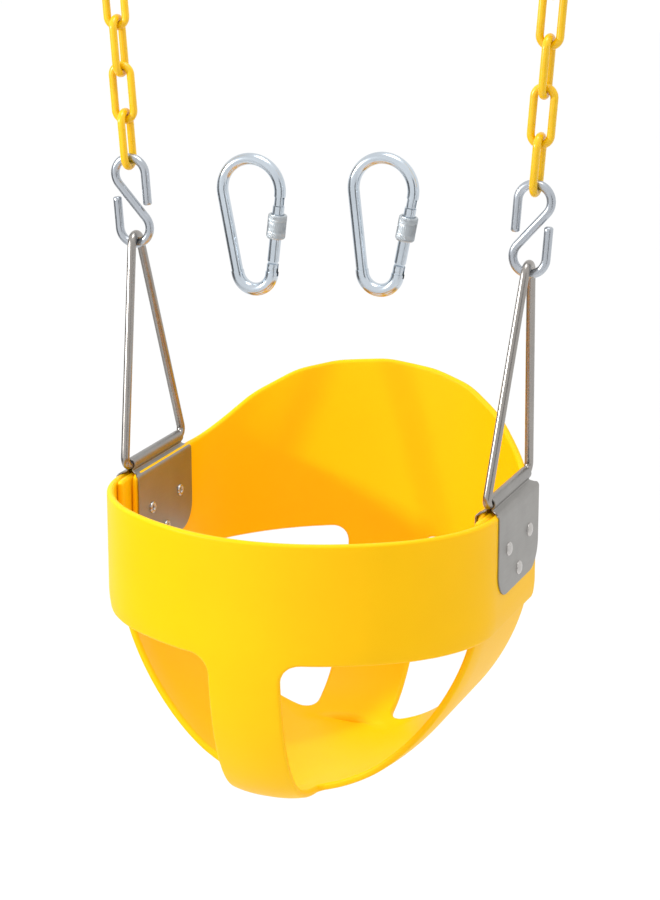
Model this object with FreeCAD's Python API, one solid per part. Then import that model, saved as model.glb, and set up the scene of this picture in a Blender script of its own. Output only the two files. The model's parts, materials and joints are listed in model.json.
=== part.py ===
"""Toddler full-bucket swing seat, hung by two coated chains, with two loose screw-lock carabiners.

Millimetres.  +Z up, the child faces -Y, +X to the viewer's right.  The origin is midway between
the upper wires of the two top chain links, where the swing is held up.  Everything except the
carabiners is mirrored about X = 0.
"""
import FreeCAD
import Part
import math
import os

V = FreeCAD.Vector
X_AXIS = V(1, 0, 0)
Y_AXIS = V(0, 1, 0)
Z_AXIS = V(0, 0, 1)

# ---- overall sizes ------------------------------------------------------------------------------
HANGER_SPACING = 260.0      # between the middle planes of the two hanger plates
LEAN = 4.2                  # each chain runs outward by this many degrees from the vertical
WIRE_DIA = 6.0              # triangle and S-hook wire
GAP = 0.3                   # slack at every wire-on-wire contact

# ---- chain --------------------------------------------------------------------------------------
LINK_COUNT = 6              # links kept on each side
COAT_DIA = 5.3              # over the plastic coat
CORE_DIA = 4.0              # steel inside the coat
LINK_PITCH = 31.7
LINK_WIDTH = 18.8           # over the coat
CORE_SLACK = 0.01

# ---- triangle hanger and S-hook -----------------------------------------------------------------
BAR_LENGTH = 92.0           # between the middles of the two sloping legs, at the bar
TRIANGLE_HEIGHT = 153.5     # bar middle to apex wire middle
TRIANGLE_CORNER = 5.5
APEX_RADIUS = 7.0
S_HOOK_HEIGHT = 65.5
S_HOOK_WIDTH = 28.5
S_HOOK_TAIL = 21.5          # straight run of each closed-in end, past the side of its eye

# ---- seat shell ---------------------------------------------------------------------------------
SHEET = 5.0                 # moulded foam sheet
FLAT_HALF = 44.0            # half length of the flat sides under the hanger plates
FRONT_REACH = 152.5         # hanger line to the outside of the front band
REAR_REACH = 124.5          # hanger line to the outside of the back panel
SEAT_DEPTH = 208.0          # bar to the underside of the seat
BAND_TOP = 7.0              # bar down to the top edge of the front band
BAND_HEIGHT = 82.0
BACK_RISE = 50.0            # bar up to the middle of the back panel's top edge
STRAP_HALF = 25.0           # half width of the crotch strap
TONGUE_HALF = 29.0          # half width of the back panel's lower tongue
CORNER = 13.0               # corner radius of the four openings
REAR_OPENING_TOP = 80.0     # bar down to the top of the rear openings
BOWL_START = 76.0           # bar down to where the upright walls start to curve in
BASE_WIDTH = 0.17           # flat underside, as parts of the largest half width and reaches
BASE_FRONT = 0.70
BASE_REAR = 0.42
PLAN_POWER = 1.9            # 2 would make the bowed front and rear true ellipses

# ---- hanger plate and rivets --------------------------------------------------------------------
PLATE_SHEET = 1.2
LOOP_LENGTH = 80.0          # rolled loop, between the triangle's rounded corners
PLATE_LENGTH = 88.0
PLATE_DROP = 65.0           # bar down to the plate's lower edge
PLATE_CORNER = 18.0
STACK = 3 * SHEET           # three sheet layers are riveted together
BAR_CLEAR = 0.05
RIVET_DIA = 5.0
RIVET_CLEAR = 0.05
RIVET_HEAD = 9.6
RIVET_SPREAD = 23.0         # the two upper rivets, either side of the middle
RIVET_UPPER = 34.5
RIVET_LOWER = 54.5

# ---- carabiner ----------------------------------------------------------------------------------
HOOK_ROD = 8.0
HOOK_BOW_ROD = 9.0          # thicker bottom bow
HOOK_TOP_RADIUS = 21.0
HOOK_BOTTOM_RADIUS = 12.6
HOOK_CENTRES = 55.5         # between the centres of the top and bottom bows
NOSE_DOWN = 7.0             # how far the nose runs down the gate line from the top bow
NOSE_STEP = 6.0             # slimmer end of the nose, which the sleeve covers when run up
NOSE_DIA = 6.8
BOW_UP = 2.0                # thick bow runs this far up each straight side
HEEL_UP = 7.5               # heel above the bottom bow's end, along the gate
PIVOT_UP = 5.0              # pivot above the bottom bow's end, along the gate
GATE_GAP = 0.35             # gate to nose
HEEL_GAP = 2.0              # gate to heel, where the flat blade shows
BLADE_HALF = 1.3
SLOT_HALF = 1.6
PIVOT_DIA = 3.0
PIVOT_CLEAR = 0.04
SLEEVE_DIA = 13.0
SLEEVE_BORE = 8.6
SLEEVE_LENGTH = 16.5
SLEEVE_DOWN = 6.0           # top of the run-down sleeve below the end of the nose
CARABINER_DROP = (233.5, 227.2)     # from the origin down to each carabiner's middle
CARABINER_X = (-53.4, 39.2)
CARABINER_TURN = (-2.2, 2.2)

# ---- sizes that follow --------------------------------------------------------------------------
WIRE_R = WIRE_DIA / 2
LINK_CENTRES = LINK_PITCH + COAT_DIA + GAP
HOOK_EYE_R = (S_HOOK_WIDTH - WIRE_DIA) / 2
S_HOOK_CENTRES = S_HOOK_HEIGHT - WIRE_DIA
S_HOOK_LOW = TRIANGLE_HEIGHT - WIRE_DIA - GAP
S_HOOK_TOP = S_HOOK_LOW + S_HOOK_CENTRES
FIRST_LINK = S_HOOK_TOP - WIRE_R - COAT_DIA / 2 - GAP
CHAIN_TOP = FIRST_LINK + LINK_CENTRES + (LINK_COUNT - 1) * LINK_PITCH
BAR_Z = -CHAIN_TOP * math.cos(math.radians(LEAN))
BAND_LOW = BAND_TOP + BAND_HEIGHT


def moved(shape, vector):
    out = shape.copy()
    out.translate(vector)
    return out


def turned(shape, axis, degrees, about=V(0, 0, 0)):
    out = shape.copy()
    out.rotate(about, axis, degrees)
    return out


def mirrored(shape):
    return shape.mirror(V(0, 0, 0), X_AXIS)


def joined(shapes):
    return shapes[0].multiFuse(shapes[1:]).removeSplitter()


def box(x0, x1, y0, y1, z0, z1):
    return Part.makeBox(x1 - x0, y1 - y0, z1 - z0, V(x0, y0, z0))


def on_side(shape):
    """Carry a shape built about an upright hang line to its leaning place on the right side."""
    leaning = turned(shape, Y_AXIS, LEAN)
    return moved(leaning, V(HANGER_SPACING / 2, 0, BAR_Z))


# ---- round rod bent in the XZ plane -------------------------------------------------------------
def rod_line(start, end, dia):
    a = V(start[0], 0, start[1])
    b = V(end[0], 0, end[1])
    return Part.makeCylinder(dia / 2, (b - a).Length, a, b - a)


def rod_arc(centre, radius, start, sweep, dia):
    """A bend: start and sweep in degrees, anticlockwise seen from the front (-Y) side."""
    circle = Part.Wire(Part.makeCircle(dia / 2, V(radius, 0, 0), Y_AXIS))
    face = Part.Face(turned(circle, X_AXIS, 90, V(radius, 0, 0)))
    bend = face.revolve(V(0, 0, 0), V(0, -1, 0), sweep)
    bend = turned(bend, V(0, -1, 0), start)
    return moved(bend, V(centre[0], 0, centre[1]))


def ring(width, centres, dia):
    """A closed chain link lying in the XZ plane, its lower bend's top at the origin height."""
    radius = (width - dia) / 2
    low = radius
    high = centres - radius
    return joined([
        rod_line((-radius, low), (-radius, high), dia),
        rod_line((radius, low), (radius, high), dia),
        rod_arc((0, high), radius, 0, 180, dia),
        rod_arc((0, low), radius, 180, 180, dia),
    ])


# ---- chain --------------------------------------------------------------------------------------
def chain_link(index):
    """Coat and core of one link.  Link 1 hangs on the S-hook, and links turn by a quarter."""
    width = LINK_WIDTH - COAT_DIA
    outer = ring(width + COAT_DIA, LINK_CENTRES, COAT_DIA)
    hollow = ring(width + CORE_DIA + 2 * CORE_SLACK, LINK_CENTRES, CORE_DIA + 2 * CORE_SLACK)
    core = ring(width + CORE_DIA, LINK_CENTRES, CORE_DIA)
    coat = outer.cut(hollow)
    lift = V(0, 0, FIRST_LINK + (index - 1) * LINK_PITCH)
    quarter = 90 if index % 2 else 0
    return [on_side(moved(turned(s, Z_AXIS, quarter), lift)) for s in (coat, core)]


# ---- S-hook -------------------------------------------------------------------------------------
def s_hook():
    """Two eyes joined by a slanting straight, each free end pressed in beside it."""
    rise = S_HOOK_CENTRES / 2 - HOOK_EYE_R
    slant = math.degrees(math.asin(HOOK_EYE_R / rise))
    run = math.sqrt(rise ** 2 - HOOK_EYE_R ** 2)
    tx = run * math.sin(math.radians(slant))
    tz = run * math.cos(math.radians(slant))
    sweep = 180 + slant
    shape = joined([
        rod_arc((0, rise), HOOK_EYE_R, -slant, sweep, WIRE_DIA),
        rod_line((tx, tz), (-tx, -tz), WIRE_DIA),
        rod_arc((0, -rise), HOOK_EYE_R, 180 - slant, sweep, WIRE_DIA),
        rod_line((-HOOK_EYE_R, rise - S_HOOK_TAIL), (-HOOK_EYE_R, rise), WIRE_DIA),
        rod_line((HOOK_EYE_R, -rise), (HOOK_EYE_R, S_HOOK_TAIL - rise), WIRE_DIA),
    ])
    return on_side(moved(shape, V(0, 0, S_HOOK_LOW + S_HOOK_CENTRES / 2)))


# ---- triangle -----------------------------------------------------------------------------------
def triangle():
    """Closed wire triangle, bar at the origin height and small rounded apex on top."""
    half = BAR_LENGTH / 2
    apex_z = TRIANGLE_HEIGHT - APEX_RADIUS
    low_z = TRIANGLE_CORNER
    low_x = half - TRIANGLE_CORNER
    reach = math.hypot(low_x, apex_z - low_z)
    tilt = math.degrees(math.atan2(low_x, apex_z - low_z))
    tilt = tilt + math.degrees(math.asin((TRIANGLE_CORNER - APEX_RADIUS) / reach))
    c = math.cos(math.radians(tilt))
    s = math.sin(math.radians(tilt))
    high = (APEX_RADIUS * c, apex_z + APEX_RADIUS * s)
    low = (low_x + TRIANGLE_CORNER * c, low_z + TRIANGLE_CORNER * s)
    shape = joined([
        rod_line((-low_x, 0), (low_x, 0), WIRE_DIA),
        rod_line(low, high, WIRE_DIA),
        rod_line((-low[0], low[1]), (-high[0], high[1]), WIRE_DIA),
        rod_arc((0, apex_z), APEX_RADIUS, tilt, 180 - 2 * tilt, WIRE_DIA),
        rod_arc((low_x, low_z), TRIANGLE_CORNER, -90, 90 + tilt, WIRE_DIA),
        rod_arc((-low_x, low_z), TRIANGLE_CORNER, 180 - tilt, 90 + tilt, WIRE_DIA),
    ])
    return on_side(turned(shape, Z_AXIS, 90))


# ---- seat shell ---------------------------------------------------------------------------------
def plan_arc(half_width, flat, reach, sign):
    """Half of the outline, bowed towards the front (sign -1) or the rear (sign +1)."""
    steps = 7
    right = []
    for i in range(steps):
        angle = math.pi / 2 * i / steps
        x = half_width * math.cos(angle) ** (2 / PLAN_POWER)
        y = flat + (reach - flat) * math.sin(angle) ** (2 / PLAN_POWER)
        right.append(V(x, sign * y, 0))
    left = [V(-p.x, p.y, 0) for p in reversed(right)]
    points = right + [V(0, sign * reach, 0)] + left
    curve = Part.BSplineCurve()
    curve.interpolate(Points=points, InitialTangent=V(0, sign, 0), FinalTangent=V(0, -sign, 0))
    return curve.toShape()


def outline(half_width, flat, front, rear, z):
    """Closed outline of the bucket at one height: two flat sides, bowed front and rear."""
    front_arc = plan_arc(half_width, flat, front, -1)
    rear_arc = plan_arc(half_width, flat, rear, 1)
    right = Part.makeLine(V(half_width, flat, 0), V(half_width, -flat, 0))
    left = Part.makeLine(V(-half_width, -flat, 0), V(-half_width, flat, 0))
    wire = Part.Wire([right, front_arc, left, rear_arc])
    return moved(wire, V(0, 0, z))


def form_at(depth):
    """Outside half width, front reach and rear reach at a depth below the bar."""
    t = min(1.0, max(0.0, (depth - BOWL_START) / (SEAT_DEPTH - BOWL_START)))
    half = (HANGER_SPACING + SHEET) / 2 * max(BASE_WIDTH, (1 - t ** 1.6) ** 0.48)
    front = FRONT_REACH * max(BASE_FRONT, (1 - t ** 2) ** 0.17)
    rear = REAR_REACH * max(BASE_REAR, (1 - t ** 2) ** 0.35)
    return half, front, rear


def section_at(depth, inset):
    """Outline at a depth, moved inward by the inset measured square to the wall."""
    step = 1.0
    here = form_at(depth)
    above = form_at(depth - step)
    below = form_at(depth + step)
    drawn = []
    for size, up, down in zip(here, above, below):
        slope = (up - down) / (2 * step)
        drawn.append(size - inset * math.sqrt(1 + slope ** 2))
    flat = min(FLAT_HALF, 0.55 * drawn[2])
    return outline(drawn[0], flat, drawn[1], drawn[2], BAR_Z - depth)


def bucket(inset):
    """The whole bucket form as a solid, drawn in by the inset on every side and below."""
    span = SEAT_DEPTH - inset - BOWL_START
    depths = [BOWL_START + span * math.sin(math.pi / 2 * i / 9) for i in range(10)]
    bowl = Part.makeLoft([section_at(d, inset) for d in reversed(depths)], True, False)
    rim = Part.Face(section_at(BOWL_START, inset)).extrude(V(0, 0, BOWL_START + BACK_RISE + 20))
    return bowl.fuse(rim)


def leg_opening():
    """Right leg opening: below the front band, between the crotch strap and the side strap."""
    top = BAR_Z - BAND_LOW
    low = BAR_Z - SEAT_DEPTH
    window = box(STRAP_HALF, 300, -400, 100, low - 60, top)
    edges = [e for e in window.Edges if abs(e.BoundBox.XMax - STRAP_HALF) < 1
             and abs(e.BoundBox.ZMin - top) < 1 and e.BoundBox.YLength > 100]
    window = window.makeFillet(CORNER, edges)
    side = Part.makePolygon([V(0, -400, top + 10), V(0, -60, top + 10), V(0, -70, low),
                             V(0, -72, low - 60), V(0, -400, low - 60), V(0, -400, top + 10)])
    wedge = Part.Face(side).extrude(V(400, 0, 0))
    return window.common(wedge)


def rear_opening():
    """Right rear opening: beside the back panel's tongue, behind the side strap."""
    top = BAR_Z - REAR_OPENING_TOP
    low = BAR_Z - SEAT_DEPTH + 11
    outline_pts = [V(TONGUE_HALF, 0, top + 2), V(TONGUE_HALF, 0, low), V(300, 0, low),
                   V(300, 0, top - 22), V(TONGUE_HALF, 0, top + 2)]
    window = Part.Face(Part.makePolygon(outline_pts)).extrude(V(0, 300, 0))
    edges = [e for e in window.Edges if e.BoundBox.XMax < TONGUE_HALF + 1
             and e.BoundBox.YLength > 100]
    window = window.makeFillet(CORNER * 0.9, edges)
    return window.common(box(0, 300, FLAT_HALF + 3, 300, low - 5, top + 20))


def back_edge():
    """What lies above the back panel's rounded top edge."""
    crest = BAR_Z + BACK_RISE
    end = BAR_Z - BAND_TOP
    half = HANGER_SPACING / 2
    points = [V(-half, 0, end), V(-0.87 * half, 0, end + 15), V(-0.76 * half, 0, end + 29),
              V(-0.53 * half, 0, crest - 11), V(-0.30 * half, 0, crest - 3.5), V(0, 0, crest),
              V(0.30 * half, 0, crest - 3.5), V(0.53 * half, 0, crest - 11),
              V(0.76 * half, 0, end + 29), V(0.87 * half, 0, end + 15), V(half, 0, end)]
    curve = Part.BSplineCurve()
    curve.interpolate(points)
    edge = curve.toShape()
    rest = Part.makePolygon([V(half, 0, end), V(half + 100, 0, end), V(half + 100, 0, crest + 90),
                             V(-half - 100, 0, crest + 90), V(-half - 100, 0, end),
                             V(-half, 0, end)])
    face = Part.Face(Part.Wire([edge] + rest.Edges))
    return moved(face.extrude(V(0, 500, 0)), V(0, -10, 0))


def front_band():
    """Outer layer at the hangers, running forward as the front band."""
    half = HANGER_SPACING / 2 + 1.5 * SHEET
    top = BAR_Z - BAND_TOP
    outer = outline(half, FLAT_HALF, FRONT_REACH, FLAT_HALF + 30, 0)
    inner = outline(half - SHEET - 0.2, FLAT_HALF, FRONT_REACH - SHEET - 0.2, FLAT_HALF + 60, 0)
    strip = Part.Face(outer).cut(Part.Face(inner)).extrude(V(0, 0, BAND_HEIGHT))
    strip = moved(strip, V(0, 0, top - BAND_HEIGHT))
    return strip.common(box(-300, 300, -300, FLAT_HALF, top - BAND_HEIGHT, top))


def back_arm():
    """Inner layer at the right hanger, running back into the back panel."""
    inner = HANGER_SPACING / 2 - 1.5 * SHEET
    top = BAR_Z - BAND_TOP
    return box(inner, inner + SHEET + 0.2, -FLAT_HALF, FLAT_HALF + 24,
               BAR_Z - REAR_OPENING_TOP, top)


def rivet_places():
    return ((RIVET_SPREAD, RIVET_UPPER), (-RIVET_SPREAD, RIVET_UPPER), (0, RIVET_LOWER))


def rivet_holes(dia):
    """Three cylinders across the right hanger's stack."""
    x0 = HANGER_SPACING / 2 - 20
    return [Part.makeCylinder(dia / 2, 40, V(x0, y, BAR_Z - drop), X_AXIS)
            for y, drop in rivet_places()]


def bucket_shell():
    """One moulded sheet: front band, crotch strap, seat, side straps and high back panel."""
    top = BAR_Z - BAND_TOP
    band_low = BAR_Z - BAND_LOW
    wall = bucket(0).cut(bucket(SHEET))
    wall = wall.cut(back_edge())
    wall = wall.cut(box(-300, 300, -400, 0, top, top + 200))
    wall = wall.cut(box(-300, 300, -400, 1 - FLAT_HALF, band_low + 14, top + 10))
    half = wall.common(box(0, 300, -400, 400, BAR_Z - 400, BAR_Z + 200))
    half = half.cut(box(45, 300, -400, 1 - FLAT_HALF, band_low - 1, top + 10))
    half = half.cut(leg_opening())
    half = half.cut(rear_opening())
    band = front_band().common(box(0, 300, -400, 400, BAR_Z - 400, BAR_Z + 200))
    half = half.fuse(band).fuse(back_arm())
    for hole in rivet_holes(RIVET_DIA + 2 * RIVET_CLEAR):
        half = half.cut(hole)
    return half.fuse(mirrored(half)).removeSplitter()


# ---- hanger plate -------------------------------------------------------------------------------
def hanger_plate():
    """One folded sheet: a rolled loop round the bar, a neck, two shoulders and two flaps."""
    t = PLATE_SHEET
    loop_r = WIRE_R + BAR_CLEAR
    neck = 1.6
    flap = STACK / 2
    start = V(0, -LOOP_LENGTH / 2, 0)
    loop = Part.makeCylinder(loop_r + t, LOOP_LENGTH, start, Y_AXIS)
    loop = loop.cut(Part.makeCylinder(loop_r, LOOP_LENGTH, start, Y_AXIS))
    bite = box(-neck, neck, -PLATE_LENGTH, PLATE_LENGTH, -2 * loop_r, 0)
    loop = loop.cut(bite)
    inside = -BAND_TOP + 0.2
    neck_top = -loop_r + 0.3
    neck_low = -loop_r - 1.4
    section = Part.makePolygon([
        V(neck, 0, neck_top), V(neck + t, 0, neck_top), V(neck + t, 0, neck_low + t),
        V(flap + t, 0, inside + t), V(flap + t, 0, -PLATE_DROP), V(flap, 0, -PLATE_DROP),
        V(flap, 0, inside), V(neck, 0, neck_low), V(neck, 0, neck_top)])
    leaf = Part.Face(section).extrude(V(0, PLATE_LENGTH, 0))
    leaf = moved(leaf, V(0, -PLATE_LENGTH / 2, 0))
    neck_room = box(0, neck + t + 0.1, LOOP_LENGTH / 2, PLATE_LENGTH, -loop_r - t, 0)
    leaf = leaf.cut(neck_room).cut(moved(neck_room, V(0, -LOOP_LENGTH / 2 - PLATE_LENGTH, 0)))
    corners = [e for e in leaf.Edges if e.BoundBox.ZMax < -PLATE_DROP + 1
               and e.BoundBox.XLength > 0.5 and e.BoundBox.YLength < 0.1]
    leaf = leaf.makeFillet(PLATE_CORNER, corners)
    plate = joined([loop, leaf, mirrored(leaf)])
    plate = moved(plate, V(HANGER_SPACING / 2, 0, BAR_Z))
    for hole in rivet_holes(RIVET_DIA + 2 * RIVET_CLEAR):
        plate = plate.cut(hole)
    return plate


def rivet(y, drop):
    """Domed head on the outside, rolled hollow end on the inside."""
    reach = STACK / 2 + PLATE_SHEET
    head_h = 2.2
    shank = Part.makeCylinder(RIVET_DIA / 2, 2 * reach + 2.4, V(-reach - 1.2, 0, 0), X_AXIS)
    ball_r = ((RIVET_HEAD / 2) ** 2 + head_h ** 2) / (2 * head_h)
    ball = Part.makeSphere(ball_r, V(reach + head_h - ball_r, 0, 0))
    head = ball.common(box(reach, reach + 10, -10, 10, -10, 10))
    curl = Part.makeCylinder(RIVET_HEAD / 2 - 0.6, 1.6, V(-reach - 1.6, 0, 0), X_AXIS)
    rim = [e for e in curl.Edges if abs(e.BoundBox.XMin + reach + 1.6) < 0.01]
    curl = curl.makeFillet(0.7, [e for e in rim if e.BoundBox.YLength > 1])
    shape = joined([shank, head, curl])
    shape = shape.cut(Part.makeCylinder(1.5, 8, V(-reach - 5, 0, 0), X_AXIS))
    return moved(shape, V(HANGER_SPACING / 2, y, BAR_Z - drop))


def rivets():
    return Part.makeCompound([rivet(y, drop) for y, drop in rivet_places()])


# ---- carabiner ----------------------------------------------------------------------------------
def tangent_side(sign):
    """Where the straight side on one hand touches the top and the bottom bow, and its angle."""
    tilt = math.acos((HOOK_TOP_RADIUS - HOOK_BOTTOM_RADIUS) / HOOK_CENTRES)
    normal = -math.pi / 2 + sign * tilt
    n = (math.cos(normal), math.sin(normal))
    high = (HOOK_TOP_RADIUS * n[0], HOOK_CENTRES / 2 + HOOK_TOP_RADIUS * n[1])
    low = (HOOK_BOTTOM_RADIUS * n[0], -HOOK_CENTRES / 2 + HOOK_BOTTOM_RADIUS * n[1])
    return high, low, math.degrees(normal)


def along(low, high, t):
    span = math.hypot(high[0] - low[0], high[1] - low[1])
    return (low[0] + (high[0] - low[0]) * t / span, low[1] + (high[1] - low[1]) * t / span)


def gate_line():
    high, low, normal = tangent_side(1)
    length = math.hypot(high[0] - low[0], high[1] - low[1])
    direction = V(high[0] - low[0], 0, high[1] - low[1])
    direction.normalize()
    return high, low, length, direction


def slab(at, direction, half_width, half_thick, rise):
    """Flat bar standing on a point of the gate line and running up along it."""
    shape = Part.makeBox(2 * half_width, 2 * half_thick, rise, V(-half_width, -half_thick, 0))
    shape = turned(shape, Y_AXIS, math.degrees(math.atan2(direction.x, direction.z)))
    return moved(shape, V(at[0], 0, at[1]))


def pivot_bore(low, high):
    pin = along(low, high, PIVOT_UP)
    return Part.makeCylinder(PIVOT_DIA / 2 + PIVOT_CLEAR, 40, V(pin[0], -20, pin[1]), Y_AXIS)


def carabiner_body():
    """Bent rod: wide top bow with the nose, plain side, and a thicker bottom bow with the heel."""
    high, low, length, direction = gate_line()
    left_high, left_low, left_normal = tangent_side(-1)
    right_normal = tangent_side(1)[2]
    top_c = (0, HOOK_CENTRES / 2)
    low_c = (0, -HOOK_CENTRES / 2)
    left_angle = left_normal % 360
    right_angle = (right_normal + 180) % 360 - 180
    nose_end = along(low, high, length - NOSE_DOWN)
    nose_step = along(low, high, length - NOSE_DOWN + NOSE_STEP)
    bow_sweep = 360 + right_angle - left_angle
    shape = joined([
        rod_arc(top_c, HOOK_TOP_RADIUS, right_angle, left_angle - right_angle, HOOK_ROD),
        rod_arc(low_c, HOOK_BOTTOM_RADIUS, left_angle, bow_sweep, HOOK_BOW_ROD),
        rod_line(left_low, left_high, HOOK_ROD),
        rod_line(left_low, along(left_low, left_high, BOW_UP), HOOK_BOW_ROD),
        rod_line(low, along(low, high, BOW_UP), HOOK_BOW_ROD),
        rod_line(nose_step, high, HOOK_ROD),
        rod_line(nose_end, nose_step, NOSE_DIA),
        rod_line(low, along(low, high, HEEL_UP), HOOK_ROD),
    ])
    shape = shape.cut(slab(along(low, high, -0.5), direction, 20, SLOT_HALF, 16))
    mouth = along(low, high, length - NOSE_DOWN - 1)
    shape = shape.cut(slab(mouth, direction, 15, SLOT_HALF, 7))
    return shape.cut(pivot_bore(low, high))


def carabiner_gate():
    """Round gate with a flat blade at the pivot and another that enters the nose."""
    high, low, length, direction = gate_line()
    rod_from = along(low, high, HEEL_UP + HEEL_GAP)
    top = length - NOSE_DOWN - GATE_GAP
    rod_to = along(low, high, top)
    pin = along(low, high, PIVOT_UP)
    shape = joined([
        rod_line(rod_from, rod_to, HOOK_ROD),
        slab(pin, direction, 3.2, BLADE_HALF, 8),
        Part.makeCylinder(3.2, 2 * BLADE_HALF, V(pin[0], -BLADE_HALF, pin[1]), Y_AXIS),
        slab(along(low, high, top - 1), direction, 2.5, BLADE_HALF, 6),
    ])
    return shape.cut(pivot_bore(low, high))


def carabiner_pin():
    high, low, length, direction = gate_line()
    pin = along(low, high, PIVOT_UP)
    return Part.makeCylinder(PIVOT_DIA / 2, HOOK_ROD - 0.6,
                             V(pin[0], -HOOK_ROD / 2 + 0.3, pin[1]), Y_AXIS)


def carabiner_sleeve():
    """Knurled screw sleeve, run down clear of the nose so that the gate can open."""
    high, low, length, direction = gate_line()
    base = along(low, high, length - NOSE_DOWN - SLEEVE_DOWN - SLEEVE_LENGTH)
    at = V(base[0], 0, base[1])
    tube = Part.makeCylinder(SLEEVE_DIA / 2, SLEEVE_LENGTH, at, direction)
    tube = tube.makeChamfer(0.8, [e for e in tube.Edges if len(e.Vertexes) == 1])
    return tube.cut(Part.makeCylinder(SLEEVE_BORE / 2, SLEEVE_LENGTH, at, direction))


# ---- export -------------------------------------------------------------------------------------
def export(shape, node):
    shape.exportStep("parts/" + node + ".step")


def main():
    os.makedirs("parts", exist_ok=True)
    export(bucket_shell(), "bucket_shell")
    pairs = {
        "hanger_plate": hanger_plate(),
        "rivets": rivets(),
        "triangle": triangle(),
        "s_hook": s_hook(),
    }
    for index in range(1, LINK_COUNT + 1):
        coat, core = chain_link(index)
        pairs["link_coat_%d" % index] = coat
        pairs["link_core_%d" % index] = core
    for name, shape in pairs.items():
        export(shape, name + "_right")
        export(mirrored(shape), name + "_left")
    loose = {
        "body": carabiner_body(),
        "gate": carabiner_gate(),
        "pin": carabiner_pin(),
        "sleeve": carabiner_sleeve(),
    }
    for index, side in enumerate(("left", "right")):
        place = V(CARABINER_X[index], 0, -CARABINER_DROP[index])
        for name, shape in loose.items():
            tilted = turned(shape, Y_AXIS, CARABINER_TURN[index])
            export(moved(tilted, place), "carabiner_%s_%s" % (name, side))


main()
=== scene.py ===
"""Looks of a toddler bucket swing: foam seat, hangers, triangles, S-hooks, chains, carabiners."""

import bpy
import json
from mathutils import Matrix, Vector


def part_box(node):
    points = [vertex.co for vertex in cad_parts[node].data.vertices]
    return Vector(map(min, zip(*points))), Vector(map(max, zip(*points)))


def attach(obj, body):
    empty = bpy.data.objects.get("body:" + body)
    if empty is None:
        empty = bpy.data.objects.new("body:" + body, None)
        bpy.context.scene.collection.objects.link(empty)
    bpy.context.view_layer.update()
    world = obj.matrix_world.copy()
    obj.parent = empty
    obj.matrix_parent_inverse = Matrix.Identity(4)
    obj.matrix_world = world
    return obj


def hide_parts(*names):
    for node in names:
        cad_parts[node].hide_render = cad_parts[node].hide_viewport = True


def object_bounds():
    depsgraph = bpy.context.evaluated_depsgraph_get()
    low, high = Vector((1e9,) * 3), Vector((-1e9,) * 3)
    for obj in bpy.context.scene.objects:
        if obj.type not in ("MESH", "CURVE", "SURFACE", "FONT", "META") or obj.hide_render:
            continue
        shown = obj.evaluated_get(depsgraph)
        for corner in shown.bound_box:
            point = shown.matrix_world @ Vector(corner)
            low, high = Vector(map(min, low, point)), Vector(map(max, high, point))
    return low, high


bl_info = {
    "name": "Toddler Bucket Swing",
    "version": (1, 0, 0),
    "blender": (4, 5, 0),
    "location": "View3D > Sidebar > Swing",
    "description": "Builds the visible pieces of a toddler bucket swing around its packed parts",
    "category": "Object",
}

import json
import math

import bmesh
import bpy
import numpy as np
from bpy.props import FloatProperty, FloatVectorProperty, IntProperty, PointerProperty
from mathutils import Matrix, Vector

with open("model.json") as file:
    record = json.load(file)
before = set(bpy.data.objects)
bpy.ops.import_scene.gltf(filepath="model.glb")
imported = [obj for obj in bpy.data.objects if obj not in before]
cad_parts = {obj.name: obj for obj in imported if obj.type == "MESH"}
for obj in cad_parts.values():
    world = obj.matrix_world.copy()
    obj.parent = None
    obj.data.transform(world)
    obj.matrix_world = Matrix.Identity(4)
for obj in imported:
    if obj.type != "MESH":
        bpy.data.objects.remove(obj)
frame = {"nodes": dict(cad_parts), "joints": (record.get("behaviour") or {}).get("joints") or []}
CAD_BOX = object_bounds()
SIDES = ("left", "right")
LINKS = 6
BAR_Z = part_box("triangle_left")[0][2] + 0.003
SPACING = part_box("hanger_plate_right")[0][0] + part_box("hanger_plate_right")[1][0]
LEAN = math.radians(4.2)


# ---- sizes and colours a user would change -------------------------------------------------------
class SwingSeatSizes(bpy.types.PropertyGroup):
    """Moulded foam seat."""
    sheet: FloatProperty(name="Sheet thickness", description="Thickness of the moulded sheet",
                         default=0.005, unit="LENGTH")
    rim: FloatProperty(name="Edge radius", description="Rounding of every cut edge of the sheet",
                       default=0.0021, unit="LENGTH")
    slack: FloatProperty(name="Layer gap", description="Air between layers at the hangers",
                         default=0.0001, unit="LENGTH")
    corner: FloatProperty(name="Opening corner", description="Corner radius of the leg openings",
                          default=0.013, unit="LENGTH")
    colour: FloatVectorProperty(name="Foam colour", description="Colour of the foam sheet",
                                default=(0.95, 0.525, 0.0), subtype="COLOR", size=3, min=0, max=1)


class SwingChainSizes(bpy.types.PropertyGroup):
    """Coated chain."""
    coat: FloatProperty(name="Coat diameter", description="Link wire over its plastic coat",
                        default=0.0053, unit="LENGTH")
    width: FloatProperty(name="Link width", description="Outside width of one link",
                         default=0.0188, unit="LENGTH")
    centres: FloatProperty(name="Link length", description="Between the two end wires' middles",
                           default=0.0373, unit="LENGTH")
    pitch: FloatProperty(name="Pitch", description="Step from one link to the next",
                         default=0.0317, unit="LENGTH")
    first: FloatProperty(name="First link", description="Bar up to the first link's lower wire",
                         default=0.20075, unit="LENGTH")
    colour: FloatVectorProperty(name="Coat colour", description="Colour of the dipped coat",
                                default=(0.80, 0.47, 0.0), subtype="COLOR", size=3, min=0, max=1)


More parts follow.
